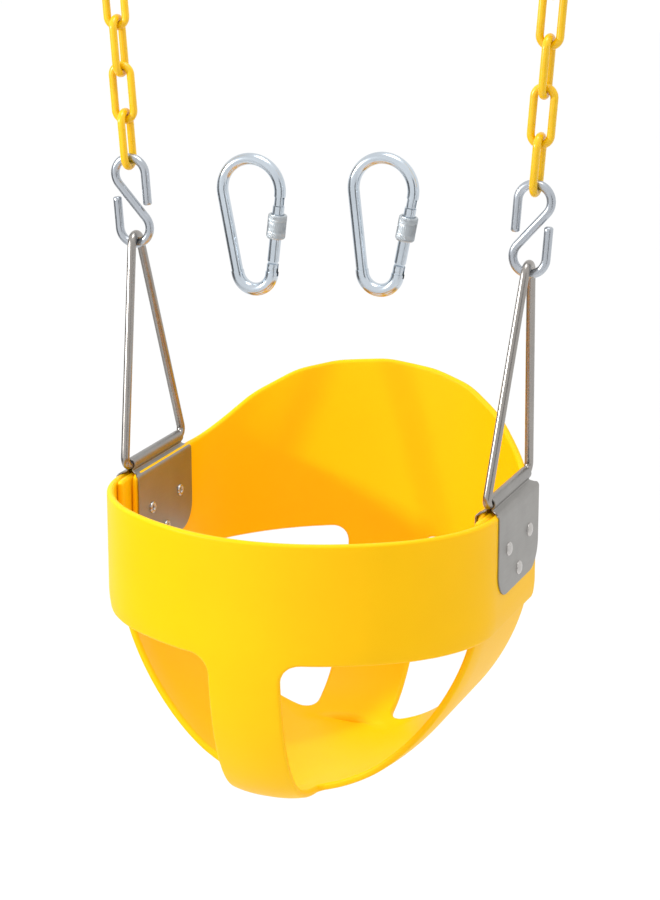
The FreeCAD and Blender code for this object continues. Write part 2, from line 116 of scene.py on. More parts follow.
class SwingMetalSizes(bpy.types.PropertyGroup):
    """Wire and sheet metal."""
    wire: FloatProperty(name="Wire diameter", description="Triangle and S-hook wire",
                        default=0.006, unit="LENGTH")
    plate: FloatProperty(name="Plate thickness", description="Hanger plate sheet",
                         default=0.0012, unit="LENGTH")
    drop: FloatProperty(name="Plate drop", description="Bar down to the plate's lower edge",
                        default=0.065, unit="LENGTH")
    head: FloatProperty(name="Rivet head", description="Diameter of the domed rivet heads",
                        default=0.0096, unit="LENGTH")
    teeth: IntProperty(name="Knurl ridges", description="Ridges round the carabiner sleeve",
                       default=30, min=8, max=60)


class SwingStageSizes(bpy.types.PropertyGroup):
    """Camera, light and floor."""
    lens: FloatProperty(name="Focal length", description="Camera lens on a 36 mm tall frame",
                        default=104.8, unit="CAMERA")
    azimuth: FloatProperty(name="Azimuth", description="Camera angle round the swing",
                           default=0.371, subtype="ANGLE")
    elevation: FloatProperty(name="Elevation", description="Camera angle above the horizon",
                             default=0.2737, subtype="ANGLE")
    distance: FloatProperty(name="Distance", description="Camera to the middle of the hangers",
                            default=1.7959, unit="LENGTH")
    floor: FloatProperty(name="Floor", description="Floor below the seat",
                         default=0.9, unit="LENGTH")


# ---- mesh helpers --------------------------------------------------------------------------------
def piece(name, verts, faces, material, body, nodes=(), slot=None, smooth=True):
    """A finished mesh object that rides on a body and may stand for CAD nodes."""
    mesh = bpy.data.meshes.new(name)
    mesh.from_pydata([tuple(map(float, v)) for v in verts], [], [tuple(f) for f in faces])
    mesh.validate()
    mesh.polygons.foreach_set("use_smooth", [smooth] * len(mesh.polygons))
    return finished(name, mesh, material, body, nodes)


def finished(name, mesh, material, body, nodes=()):
    obj = bpy.data.objects.new(name, mesh)
    bpy.context.scene.collection.objects.link(obj)
    mesh.materials.clear()
    mesh.materials.append(material)
    if nodes:
        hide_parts(*nodes)
    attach(obj, body)
    return obj


def merged(parts):
    """One vertex and face list from several."""
    verts, faces, start = [], [], 0
    for v, f in parts:
        verts.extend(v)
        faces.extend([tuple(i + start for i in face) for face in f])
        start += len(v)
    return verts, faces


def flipped(part):
    """Mirror image across X = 0, with its faces turned the right way out again."""
    verts, faces = part
    return [(-v[0], v[1], v[2]) for v in verts], [tuple(reversed(f)) for f in faces]


def arc(centre, radius, start, sweep, steps):
    """Points of an arc in the XZ plane, angles in degrees."""
    out = []
    for i in range(steps + 1):
        a = math.radians(start + sweep * i / steps)
        out.append((centre[0] + radius * math.cos(a), centre[1] + radius * math.sin(a)))
    return out


def rod(path, radius, closed=False, rings=20, bevel=0.0008):
    """Round wire along a flat path of (x, z) points, ends lightly bevelled."""
    pts = [np.array((p[0], 0.0, p[1])) for p in path]
    n = len(pts)
    rows = []
    for i, p in enumerate(pts):
        a = pts[(i - 1) % n] if closed or i else p
        b = pts[(i + 1) % n] if closed or i < n - 1 else p
        t = (b - a) / np.linalg.norm(b - a)
        rows.append((p, t, radius))
    if not closed:
        p, t, r = rows[0]
        q, u, r = rows[-1]
        head = [(p, t, r - bevel)]
        tail = [(q, u, r - bevel)]
        rows[0] = (p + t * bevel, t, r)
        rows[-1] = (q - u * bevel, u, r)
        rows = head + rows + tail
    verts, faces = [], []
    for p, t, r in rows:
        side = np.cross((0.0, 1.0, 0.0), t)
        for k in range(rings):
            a = 2 * math.pi * k / rings
            verts.append(tuple(p + r * (math.cos(a) * side + math.sin(a) * np.array((0, 1, 0)))))
    count = len(rows)
    for i in range(count if closed else count - 1):
        j = (i + 1) % count
        for k in range(rings):
            m = (k + 1) % rings
            faces.append((i * rings + k, i * rings + m, j * rings + m, j * rings + k))
    if not closed:
        faces.append(tuple(reversed(range(rings))))
        faces.append(tuple(range((count - 1) * rings, count * rings)))
    return verts, faces


def placed(part, turn=0.0, lift=0.0):
    """Turn about Z, lift, lean with the chain, and carry to the right hanger's bar."""
    verts, faces = part
    c, s = math.cos(turn), math.sin(turn)
    cl, sl = math.cos(LEAN), math.sin(LEAN)
    out = []
    for x, y, z in verts:
        x, y = c * x - s * y, s * x + c * y
        z += lift
        out.append((x * cl + z * sl + SPACING / 2, y, -x * sl + z * cl + BAR_Z))
    return out, faces


# ---- trimmed sheets ------------------------------------------------------------------------------
def corner_max(a, b, r):
    """Larger of two signed distances, with the corner between them rounded."""
    u = np.maximum(a + r, 0)
    v = np.maximum(b + r, 0)
    return np.minimum(np.maximum(a, b), -r) + np.hypot(u, v)


def grid_faces(rows, cols, wrap):
    faces = []
    for i in range(rows - 1):
        for j in range(cols if wrap else cols - 1):
            k = (j + 1) % cols
            a, b, c, d = i * cols + j, i * cols + k, (i + 1) * cols + k, (i + 1) * cols + j
            faces.append((a, b, c) if (i + j) % 2 else (a, b, d))
            faces.append((a, c, d) if (i + j) % 2 else (b, c, d))
    return np.array(faces, dtype=np.int64)


def even_distance(points, faces, s):
    """Scale a trimming field so that it changes by one metre per metre along the surface."""
    p = points[faces]
    e1 = p[:, 1] - p[:, 0]
    e2 = p[:, 2] - p[:, 0]
    g11 = (e1 * e1).sum(1)
    g12 = (e1 * e2).sum(1)
    g22 = (e2 * e2).sum(1)
    det = np.maximum(g11 * g22 - g12 * g12, 1e-22)
    d1 = s[faces[:, 1]] - s[faces[:, 0]]
    d2 = s[faces[:, 2]] - s[faces[:, 0]]
    slope = np.sqrt(np.maximum((g22 * d1 * d1 - 2 * g12 * d1 * d2 + g11 * d2 * d2) / det, 0))
    total = np.zeros(len(points))
    count = np.zeros(len(points))
    for k in range(3):
        np.add.at(total, faces[:, k], slope)
        np.add.at(count, faces[:, k], 1)
    mean = total / np.maximum(count, 1)
    return s / np.clip(mean, 0.35, 2.5)


def cut_at(points, normals, s, faces, level, near, keep_all=True):
    """Split triangles along the line where the field equals a level."""
    s = np.where(np.abs(s - level) < near, level, s)
    sign = np.sign(s - level).astype(int)
    fs = sign[faces]
    crossing = (fs.min(1) < 0) & (fs.max(1) > 0)
    out = [tuple(f) for f in faces[~crossing]]
    new_p, new_n, new_s = list(points), list(normals), list(s)
    made = {}

    def between(a, b):
        key = (a, b) if a < b else (b, a)
        if key not in made:
            t = (level - new_s[a]) / (new_s[b] - new_s[a])
            made[key] = len(new_p)
            new_p.append(new_p[a] + (new_p[b] - new_p[a]) * t)
            nn = new_n[a] + (new_n[b] - new_n[a]) * t
            new_n.append(nn / max(np.linalg.norm(nn), 1e-12))
            new_s.append(level)
        return made[key]

    for f in faces[crossing]:
        g = [int(sign[i]) for i in f]
        if 0 in g:
            k = g.index(0)
            a, b, c = int(f[k]), int(f[(k + 1) % 3]), int(f[(k + 2) % 3])
            m = between(b, c)
            out += [(a, b, m), (a, m, c)]
            continue
        k = [i for i in range(3) if g.count(g[i]) == 1][0]
        a, b, c = int(f[k]), int(f[(k + 1) % 3]), int(f[(k + 2) % 3])
        m, n = between(a, b), between(a, c)
        out += [(a, m, n), (m, b, c), (m, c, n)]
    points, normals, s = np.array(new_p), np.array(new_n), np.array(new_s)
    faces = np.array(out, dtype=np.int64)
    if not keep_all:
        faces = faces[(s[faces].max(1) <= level + 1e-9)]
    return points, normals, s, faces


def rounded_sheet(points, normals, s, faces, half, rim):
    """Solid sheet about its middle surface, trimmed where s = 0 and rounded along that edge."""
    p = points[faces]
    facing = (np.cross(p[:, 1] - p[:, 0], p[:, 2] - p[:, 0]) * normals[faces[:, 0]]).sum()
    if facing < 0:
        faces = faces[:, ::-1]
    near = 0.04 * rim
    points, normals, s, faces = cut_at(points, normals, s, faces, 0.0, near, keep_all=False)
    for q in (0.06, 0.28, 0.62, 1.0):
        points, normals, s, faces = cut_at(points, normals, s, faces, -rim * q, near)
    used = np.unique(faces)
    index = -np.ones(len(points), dtype=np.int64)
    index[used] = np.arange(len(used))
    points, normals, s, faces = points[used], normals[used], s[used], index[faces]
    q = np.minimum(-s, rim)
    h = (half - rim) + np.sqrt(np.maximum(rim ** 2 - (rim - q) ** 2, 0))
    outer = points + normals * h[:, None]
    inner = points - normals * h[:, None]
    n = len(points)
    edges = {}
    for f in faces:
        for a, b in ((f[0], f[1]), (f[1], f[2]), (f[2], f[0])):
            a, b = int(a), int(b)
            if (b, a) in edges:
                del edges[(b, a)]
            else:
                edges[(a, b)] = True
    out = [tuple(int(i) for i in f) for f in faces]
    out += [(int(f[2]) + n, int(f[1]) + n, int(f[0]) + n) for f in faces]
    rim_faces = [(b, a, a + n, b + n) for a, b in edges if abs(s[a]) < 1e-7 and abs(s[b]) < 1e-7]
    return list(outer) + list(inner), out + rim_faces


# ---- shape of the bucket -------------------------------------------------------------------------
FLAT = 0.044
FRONT = 0.1525
REAR = 0.1245
DEPTH = 0.208
BOWL = 0.076
BAND_TOP = 0.007
BAND_LOW = 0.089
STRAP = 0.025
TONGUE = 0.029
CREST = 0.050
POWER = 1.9
SQUARING = 0.9
FRONT_BASE = 0.56
REAR_BASE = 0.42
LEG_LINE = 0.060
LEG_SWEEP = 0.018


def form_at(depth):
    """Outside half width, front reach and rear reach of the bucket at a depth below the bar."""
    t = np.clip((depth - BOWL) / (DEPTH - BOWL), 0, 1)
    half = (SPACING + 0.005) / 2 * (1 - t ** 1.6) ** 0.48
    front = FRONT * np.maximum(FRONT_BASE, (1 - t ** 2) ** 0.17)
    rear = REAR * np.maximum(REAR_BASE, (1 - t ** 2) ** 0.35)
    return half, front, rear


def plan_columns():
    """Round the outline: side code, and how far along each flat or bow."""
    flats = np.linspace(0, 1, 25)[:-1]
    bows = np.linspace(0, 1, 117)[:-1]
    cols = [("right", u) for u in flats] + [("rear", u) for u in bows]
    cols += [("left", u) for u in flats] + [("front", u) for u in bows]
    return cols


def surface(depths):
    """Outside surface of the bucket, one row for each depth."""
    cols = plan_columns()
    pts = np.zeros((len(depths), len(cols), 3))
    for i, depth in enumerate(depths):
        half, front, rear = form_at(depth)
        flat = min(FLAT, 0.55 * rear)
        square = POWER + SQUARING * np.clip((depth - BOWL) / (DEPTH - BOWL), 0, 1) ** 6
        for j, (side, u) in enumerate(cols):
            if side in ("right", "left"):
                x, y = half, -flat + 2 * flat * u
                if side == "left":
                    x, y = -x, -y
            else:
                a = math.pi * u
                c, s = math.cos(a), math.sin(a)
                reach, power = (rear, POWER) if side == "rear" else (front, square)
                x = half * math.copysign(abs(c) ** (2 / power), c)
                y = flat + (reach - flat) * abs(s) ** (2 / power)
                if side == "front":
                    x, y = -x, -y
            pts[i, j] = (x, y, BAR_Z - depth)
    return pts


def smoothstep(a, b, x):
    t = np.clip((x - a) / (b - a), 0, 1)
    return t * t * (3 - 2 * t)


def layer(depths, shift):
    """Middle surface and normals of one layer, moved out (or in) by shift at the hangers."""
    pts = surface(depths)
    x = pts[..., 0]
    pts[..., 0] = x * (1 + shift / (SPACING / 2) * smoothstep(0.055, 0.11, np.abs(x)))
    along = np.roll(pts, -1, 1) - np.roll(pts, 1, 1)
    down = np.gradient(pts, axis=0)
    normal = np.cross(down, along)
    size = np.linalg.norm(normal, axis=2, keepdims=True)
    normal = np.where(size > 1e-12, normal / np.maximum(size, 1e-12), (0, 0, -1.0))
    centre = np.array((0, 0, BAR_Z - 0.05))
    if ((pts[0] - centre) * normal[0]).sum(1).mean() < 0:
        normal = -normal
    return pts - normal * 0.0025, normal


def crest_height(x):
    """Height above the bar of the back panel's top edge."""
    k = np.array((0, 0.30, 0.53, 0.76, 0.87, 1.0, 1.2)) * 0.130
    h = np.array((CREST, CREST - 0.0035, CREST - 0.011, 0.022, 0.008, -0.007, -0.007))
    fine = np.linspace(0, 0.156, 400)
    y = np.interp(fine, k, h)
    pad = np.concatenate((y[60:0:-1], y, np.full(60, y[-1])))
    kernel = np.hanning(61)
    smooth = np.convolve(pad, kernel / kernel.sum(), "same")[60:460]
    return np.interp(np.abs(x), fine, smooth)


def front_edge(depth):
    """Where the side strap's front edge lies, rearward of the hanger line being positive."""
    return -LEG_LINE - LEG_SWEEP * np.clip((depth - 0.060) / 0.148, 0, 1.0) ** 1.5


def seat_sheets(sizes):
    """Band with crotch strap, side straps with seat, and back panel, as one welded mesh."""
    upper = np.linspace(-0.066, 0.116, 62)
    lower = BOWL + (DEPTH - BOWL) * np.sin(np.linspace(0, math.pi / 2, 74))
    rows_down = np.concatenate((upper, lower[lower > 0.1165]))
    front_seam = BAR_Z - upper[-1]
    rear_seam = BAR_Z - upper[upper <= 0.104][-1]
    half = sizes.sheet / 2 - sizes.slack / 2
    parts = []

    def add(shift, field, mask):
        pts, nrm = layer(rows_down, shift)
        rows, cols = pts.shape[:2]
        p, n = pts.reshape(-1, 3), nrm.reshape(-1, 3)
        faces = grid_faces(rows, cols, True)
        s = field(p[:, 0], p[:, 1], BAR_Z - p[:, 2])
        s = even_distance(p, faces, s)
        faces = faces[mask(p[faces].mean(1))]
        parts.append(rounded_sheet(p, n, s, faces, half, sizes.rim))

    def strap_field(x, y, d):
        hole = corner_max(BAND_LOW - d, STRAP - np.abs(x), sizes.corner)
        trim = corner_max(BAND_TOP - d, y - FLAT, 0.004)
        return corner_max(trim, -hole, 0.0015)

    def bowl_field(x, y, d):
        leg = corner_max(STRAP - np.abs(x), y - front_edge(d), 0.004)
        rear = corner_max(TONGUE - np.abs(x), 0.047 - y, 0.012)
        return np.maximum(np.maximum(BAND_TOP - d, -leg), -rear)

    def back_field(x, y, d):
        top = -d - crest_height(x / 0.962)
        gap = 0.078 + 0.09 * np.maximum(np.abs(x) - 0.030, 0)
        hole = corner_max(gap - d, TONGUE - np.abs(x), 0.012)
        trim = corner_max(top, -FLAT - y, 0.008)
        return corner_max(trim, -hole, 0.0015)

    def bowl_mask(c):
        strap = (c[:, 1] < -0.055) & (np.abs(c[:, 0]) < 0.06) & (c[:, 2] > front_seam)
        tongue = (c[:, 1] > 0.052) & (np.abs(c[:, 0]) < 0.06) & (c[:, 2] > rear_seam)
        return (c[:, 2] < BAR_Z) & ~(strap | tongue)

    add(0.005, strap_field, lambda c: (c[:, 1] < 0.06) & (c[:, 2] > front_seam))
    add(-0.005, back_field, lambda c: (c[:, 1] > -0.06) & (c[:, 2] > rear_seam))
    add(0.0, bowl_field, bowl_mask)
    return merged(parts)


class SWING_OT_seat(bpy.types.Operator):
    """Build the moulded foam seat."""
    bl_idname = "swing.seat"
    bl_label = "Foam seat"

    def execute(self, context):
        sizes = context.scene.swing_seat
        verts, faces = seat_sheets(sizes)
        obj = piece("foam_seat", verts, faces, foam(sizes.colour), "seat", ["bucket_shell"],
                    "yellow_foam")
        weld(obj.data, 0.00002)
        return {"FINISHED"}


def weld(mesh, distance):
    """Join vertices that lie within a distance of each other."""
    bm = bmesh.new()
    bm.from_mesh(mesh)
    bmesh.ops.remove_doubles(bm, verts=bm.verts, dist=distance)
    bmesh.ops.dissolve_degenerate(bm, dist=0.000002, edges=bm.edges)
    bm.to_mesh(mesh)
    bm.free()
    mesh.polygons.foreach_set("use_smooth", [True] * len(mesh.polygons))


# ---- hanger plates and rivets --------------------------------------------------------------------
def plate_section(sizes):
    """Middle line of the folded plate, from one flap's lower edge round the bar to the other."""
    t = sizes.plate
    flap = 0.0075 + t / 2 + 0.00005
    loop = sizes.wire / 2 + 0.0001 + t / 2
    neck_angle = 32
    right = [(flap, -sizes.drop + i * (sizes.drop - 0.0088) / 22) for i in range(23)]
    neck = (loop * math.sin(math.radians(neck_angle)), -loop * math.cos(math.radians(neck_angle)))
    bend = [(flap - 0.0004, -0.0076), (flap - 0.0013, -0.0067), (flap - 0.0028, -0.0060),
            (neck[0] + 0.0009, -0.0050), (neck[0] + 0.0002, -0.0043)]
    ring = arc((0, 0), loop, -90 + neck_angle, 360 - 2 * neck_angle, 40)
    left = [(-x, z) for x, z in reversed(right + bend)]
    return right + bend + ring + left


class SWING_OT_plates(bpy.types.Operator):
    """Build the two folded hanger plates."""
    bl_idname = "swing.plates"
    bl_label = "Hanger plates"

    def execute(self, context):
        sizes = context.scene.swing_metal
        line = plate_section(sizes)
        ys = np.linspace(-0.0452, 0.0452, 61)
        pts = np.array([[(x + SPACING / 2, y, z + BAR_Z) for y in ys] for x, z in line])
        down = np.gradient(pts, axis=0)
        along = np.gradient(pts, axis=1)
        normal = np.cross(along, down)
        normal /= np.linalg.norm(normal, axis=2, keepdims=True)
        rows, cols = pts.shape[:2]
        p, n = pts.reshape(-1, 3), normal.reshape(-1, 3)
        faces = grid_faces(rows, cols, False)
        z = p[:, 2] - BAR_Z
        wide = 0.044 - 0.004 * smoothstep(-0.0066, -0.0056, z)
        side = np.abs(p[:, 1]) - wide
        s = corner_max(side, -sizes.drop + 0.0002 - z, 0.018)
        part = rounded_sheet(p, n, s, faces, sizes.plate / 2, sizes.plate * 0.32)
        metal = sheet_steel()
        for name, shape in (("right", part), ("left", flipped(part))):
            obj = piece("plate_" + name, *shape, metal, "seat", ["hanger_plate_" + name],
                        "satin_steel")
            weld(obj.data, 0.000005)
        return {"FINISHED"}


def link_socket(tree, name, kind, default):
    socket = tree.interface.new_socket(name, in_out="INPUT", socket_type=kind)
    if default is not None:
        socket.default_value = default
    return socket


def geometry_tree(name):
    tree = bpy.data.node_groups.new(name, "GeometryNodeTree")
    tree.interface.new_socket("Geometry", in_out="INPUT", socket_type="NodeSocketGeometry")
    tree.interface.new_socket("Geometry", in_out="OUTPUT", socket_type="NodeSocketGeometry")
    return tree


def wire_up(tree, pairs):
    for a, b in pairs:
        tree.links.new(a, b)


def grown(name, base, tree, values, material, body, nodes=()):
    """Run a node tree on a base mesh and keep the result as a plain mesh."""
    carrier = bpy.data.objects.new(name + "_carrier", base)
    bpy.context.scene.collection.objects.link(carrier)
    modifier = carrier.modifiers.new("grow", "NODES")
    modifier.node_group = tree
    for item in tree.interface.items_tree:
        if item.item_type == "SOCKET" and item.in_out == "INPUT" and item.name in values:
            modifier[item.identifier] = values[item.name]
    graph = bpy.context.evaluated_depsgraph_get()
    mesh = bpy.data.meshes.new_from_object(carrier.evaluated_get(graph))
    bpy.data.objects.remove(carrier)
    mesh.name = name
    if len(mesh.polygons) == 0:
        raise RuntimeError("no faces grew for " + name)
    mesh.polygons.foreach_set("use_smooth", [True] * len(mesh.polygons))
    return finished(name, mesh, material, body, nodes)


def rivet_tree(material):
    """Domed heads and curled inner ends, one of each at every point of the base mesh."""
    tree = geometry_tree("rivet_rows")
    link_socket(tree, "Head Radius", "NodeSocketFloat", 0.0048)
    link_socket(tree, "Stack", "NodeSocketFloat", 0.0174)
    new = tree.nodes.new
    gin, gout = new("NodeGroupInput"), new("NodeGroupOutput")
    head = new("GeometryNodeMeshUVSphere")
    head.inputs["Segments"].default_value = 40
    head.inputs["Rings"].default_value = 24
    flat = new("GeometryNodeTransform")
    flat.inputs["Scale"].default_value = (1, 1, 0.44)
    circle = new("GeometryNodeCurvePrimitiveCircle")
    circle.inputs["Resolution"].default_value = 40
    circle.inputs["Radius"].default_value = 0.0030
    profile = new("GeometryNodeCurvePrimitiveCircle")
    profile.inputs["Resolution"].default_value = 16
    profile.inputs["Radius"].default_value = 0.00125
    curl = new("GeometryNodeCurveToMesh")
    low = new("ShaderNodeMath")
    low.operation = "MULTIPLY"
    low.inputs[1].default_value = -1.0
    shift = new("ShaderNodeCombineXYZ")
    drop = new("GeometryNodeTransform")
    core = new("GeometryNodeMeshCylinder")
    core.inputs["Vertices"].default_value = 32
    core.inputs["Radius"].default_value = 0.0024
    half = new("ShaderNodeMath")
    half.operation = "MULTIPLY"
    half.inputs[1].default_value = -0.5
    core_at = new("ShaderNodeCombineXYZ")
    core_move = new("GeometryNodeTransform")
    both = new("GeometryNodeJoinGeometry")
    spread = new("GeometryNodeInstanceOnPoints")
    turn = new("GeometryNodeInputNamedAttribute")
    turn.data_type = "FLOAT_VECTOR"
    turn.inputs["Name"].default_value = "turn"
    real = new("GeometryNodeRealizeInstances")
    finish = new("GeometryNodeSetMaterial")
    finish.inputs["Material"].default_value = material
    wire_up(tree, [
        (gin.outputs["Head Radius"], head.inputs["Radius"]),
        (head.outputs["Mesh"], flat.inputs["Geometry"]),
        (circle.outputs["Curve"], curl.inputs["Curve"]),
        (profile.outputs["Curve"], curl.inputs["Profile Curve"]),
        (gin.outputs["Stack"], low.inputs[0]),
        (low.outputs[0], shift.inputs["Z"]),
        (curl.outputs["Mesh"], drop.inputs["Geometry"]),
        (shift.outputs[0], drop.inputs["Translation"]),
        (gin.outputs["Stack"], core.inputs["Depth"]),
        (gin.outputs["Stack"], half.inputs[0]),
        (half.outputs[0], core_at.inputs["Z"]),
        (core.outputs["Mesh"], core_move.inputs["Geometry"]),
        (core_at.outputs[0], core_move.inputs["Translation"]),
        (flat.outputs["Geometry"], both.inputs["Geometry"]),
        (drop.outputs["Geometry"], both.inputs["Geometry"]),
        (core_move.outputs["Geometry"], both.inputs["Geometry"]),
        (gin.outputs["Geometry"], spread.inputs["Points"]),
        (both.outputs["Geometry"], spread.inputs["Instance"]),
        (turn.outputs["Attribute"], spread.inputs["Rotation"]),
        (spread.outputs["Instances"], real.inputs["Geometry"]),
        (real.outputs["Geometry"], finish.inputs["Geometry"]),
        (finish.outputs["Geometry"], gout.inputs["Geometry"]),
    ])
    return tree


def point_mesh(name, places, turns):
    mesh = bpy.data.meshes.new(name)
    mesh.from_pydata(places, [], [])
    attribute = mesh.attributes.new("turn", "FLOAT_VECTOR", "POINT")
    attribute.data.foreach_set("vector", [v for t in turns for v in t])
    return mesh


class SWING_OT_rivets(bpy.types.Operator):
    """Build the rivets of both hangers."""
    bl_idname = "swing.rivets"
    bl_label = "Rivets"

    def execute(self, context):
        sizes = context.scene.swing_metal
        metal = rivet_steel()
        tree = rivet_tree(metal)
        reach = 0.0075 + sizes.plate
        for side, sign in (("right", 1), ("left", -1)):
            x = sign * (SPACING / 2 + reach)
            places = [(x, y, BAR_Z - d) for y, d in ((0.023, 0.0345), (-0.023, 0.0345),
                                                     (0.0, 0.0545))]
            turns = [(0, sign * math.pi / 2, 0)] * 3
            grown("rivets_" + side + "_set", point_mesh("rivet_points", places, turns), tree,
                  {"Head Radius": sizes.head / 2, "Stack": 2 * reach + 0.0002}, metal, "seat",
                  ["rivets_" + side])
        return {"FINISHED"}


# ---- triangles and S-hooks -----------------------------------------------------------------------
WIRE = 0.006
WIRE_GAP = 0.0003
TRIANGLE_TOP = 0.1535
HOOK_HEIGHT = 0.0655
HOOK_WIDTH = 0.0285
HOOK_TAIL = 0.0215


def triangle_path():
    half, corner, apex = 0.046, 0.0055, 0.007
    apex_z, low_x = TRIANGLE_TOP - apex, half - corner
    reach = math.hypot(low_x, apex_z - corner)
    tilt = math.degrees(math.atan2(low_x, apex_z - corner) + math.asin((corner - apex) / reach))
    path = [(low_x * u, 0) for u in np.linspace(-1, 1, 24)[1:-1]]
    path += arc((low_x, corner), corner, -90, 90 + tilt, 12)
    path += arc((0, apex_z), apex, tilt, 180 - 2 * tilt, 20)
    path += arc((-low_x, corner), corner, 180 - tilt, 90 + tilt, 12)
    dense = []
    for a, b in zip(path, path[1:] + path[:1]):
        steps = max(1, int(math.hypot(b[0] - a[0], b[1] - a[1]) / 0.006))
        dense += [(a[0] + (b[0] - a[0]) * i / steps, a[1] + (b[1] - a[1]) * i / steps)
                  for i in range(steps)]
    return dense


def s_hook_path():
    eye = (HOOK_WIDTH - WIRE) / 2
    rise = (HOOK_HEIGHT - WIRE) / 2 - eye
    slant = math.degrees(math.asin(eye / rise))
    upper = arc((0, rise), eye, -slant, 180 + slant, 40)
    lower = arc((0, -rise), eye, 180 - slant, 180 + slant, 40)
    upper += [(-eye, rise - HOOK_TAIL * i / 8) for i in range(1, 9)]
    lower += [(eye, HOOK_TAIL * i / 8 - rise) for i in range(1, 9)]
    middle = []
    for i in range(1, 6):
        k = i / 6
        middle.append((upper[0][0] * (1 - k) + lower[0][0] * k,
                       upper[0][1] * (1 - k) + lower[0][1] * k))
    return list(reversed(upper)) + middle + lower


class SWING_OT_hangers(bpy.types.Operator):
    """Build the wire triangles and the S-hooks."""
    bl_idname = "swing.hangers"
    bl_label = "Triangles and S-hooks"

    def execute(self, context):
        radius = context.scene.swing_metal.wire / 2
        triangle = placed(rod(triangle_path(), radius, closed=True, rings=28), turn=math.pi / 2)
        hook = rod(s_hook_path(), radius, rings=28)
        hook = placed(hook, lift=TRIANGLE_TOP - WIRE - WIRE_GAP + (HOOK_HEIGHT - WIRE) / 2)
        steel, zinc = wire_steel(), zinc_plate("zinc_hook", (0.45, 0.48, 0.52), 0.27)
        for side in SIDES:
            shape = triangle if side == "right" else flipped(triangle)
            piece("triangle_wire_" + side, *shape, steel, "seat", ["triangle_" + side],
                  "polished_steel")
            shape = hook if side == "right" else flipped(hook)
            piece("hook_wire_" + side, *shape, zinc, "s_hooks", ["s_hook_" + side], "zinc_plate")
        return {"FINISHED"}


# ---- chain ---------------------------------------------------------------------------------------
def link_tree(material):
    """One coated link at every point of the base mesh, turned by its point's angle."""
    tree = geometry_tree("coated_links")
    link_socket(tree, "Coat Radius", "NodeSocketFloat", 0.00265)
    link_socket(tree, "Link Width", "NodeSocketFloat", 0.0135)
    link_socket(tree, "Link Length", "NodeSocketFloat", 0.0373)
    link_socket(tree, "Corner", "NodeSocketFloat", 0.00674)
    new = tree.nodes.new
    gin, gout = new("NodeGroupInput"), new("NodeGroupOutput")
    quad = new("GeometryNodeCurvePrimitiveQuadrilateral")
    fillet = new("GeometryNodeFilletCurve")
    for item in fillet.inputs:
        if item.name == "Count":
            item.default_value = 14
    fillet.mode = "POLY"
    upright = new("GeometryNodeTransform")
    upright.inputs["Rotation"].default_value = (math.pi / 2, 0, 0)
    profile = new("GeometryNodeCurvePrimitiveCircle")
    profile.inputs["Resolution"].default_value = 22
    sweep = new("GeometryNodeCurveToMesh")
    resample = new("GeometryNodeSubdivideCurve")
    resample.inputs["Cuts"].default_value = 1
    spread = new("GeometryNodeInstanceOnPoints")
    turn = new("GeometryNodeInputNamedAttribute")
    turn.data_type = "FLOAT_VECTOR"
    turn.inputs["Name"].default_value = "turn"
    real = new("GeometryNodeRealizeInstances")
    finish = new("GeometryNodeSetMaterial")
    finish.inputs["Material"].default_value = material
    wire_up(tree, [
        (gin.outputs["Link Width"], quad.inputs["Width"]),
        (gin.outputs["Link Length"], quad.inputs["Height"]),
        (quad.outputs["Curve"], fillet.inputs["Curve"]),
        (gin.outputs["Corner"], fillet.inputs["Radius"]),
        (fillet.outputs["Curve"], resample.inputs["Curve"]),
        (resample.outputs["Curve"], upright.inputs["Geometry"]),
        (upright.outputs["Geometry"], sweep.inputs["Curve"]),
        (gin.outputs["Coat Radius"], profile.inputs["Radius"]),
        (profile.outputs["Curve"], sweep.inputs["Profile Curve"]),
        (gin.outputs["Geometry"], spread.inputs["Points"]),
        (sweep.outputs["Mesh"], spread.inputs["Instance"]),
        (turn.outputs["Attribute"], spread.inputs["Rotation"]),
        (spread.outputs["Instances"], real.inputs["Geometry"]),
        (real.outputs["Geometry"], finish.inputs["Geometry"]),
        (finish.outputs["Geometry"], gout.inputs["Geometry"]),
    ])
    return tree


class SWING_OT_chains(bpy.types.Operator):
    """Build the coated chain links, one pair on each moving body."""
    bl_idname = "swing.chains"
    bl_label = "Coated chains"

    def execute(self, context):
        sizes = context.scene.swing_chain
        coat = dipped_coat(sizes.colour)
        tree = link_tree(coat)
        values = {"Coat Radius": sizes.coat / 2, "Link Width": sizes.width - sizes.coat,
                  "Link Length": sizes.centres,
                  "Corner": (sizes.width - sizes.coat) / 2 - 0.00001}
        for index in range(1, LINKS + 1):
            middle = sizes.first + (index - 1) * sizes.pitch + sizes.centres / 2
            x = SPACING / 2 + middle * math.sin(LEAN)
            z = BAR_Z + middle * math.cos(LEAN)
            places, turns = [], []
            for sign in (1, -1):
                spin = Matrix.Rotation(math.pi / 2 if index % 2 else 0, 3, "Z")
                lean = Matrix.Rotation(sign * LEAN, 3, "Y")
                turns.append(tuple((lean @ spin).to_euler()))
                places.append((sign * x, 0, z))
            body = "top_links" if index == LINKS else "links_%d" % index
            nodes = ["link_%s_%d_%s" % (kind, index, side)
                     for kind in ("coat", "core") for side in SIDES]
            grown("chain_pair_%d" % index, point_mesh("link_points", places, turns), tree,
                  values, coat, body, nodes)
        return {"FINISHED"}


# ---- carabiners ----------------------------------------------------------------------------------
def gate_axis(side):
    """Pivot of a carabiner's gate, and the direction that its sleeve slides in."""
    joints = {joint["name"]: joint for joint in frame["joints"]}
    pivot = Vector(joints["gate_" + side]["pos_m"])
    return pivot, Vector(joints["sleeve_" + side]["axis"]).normalized()


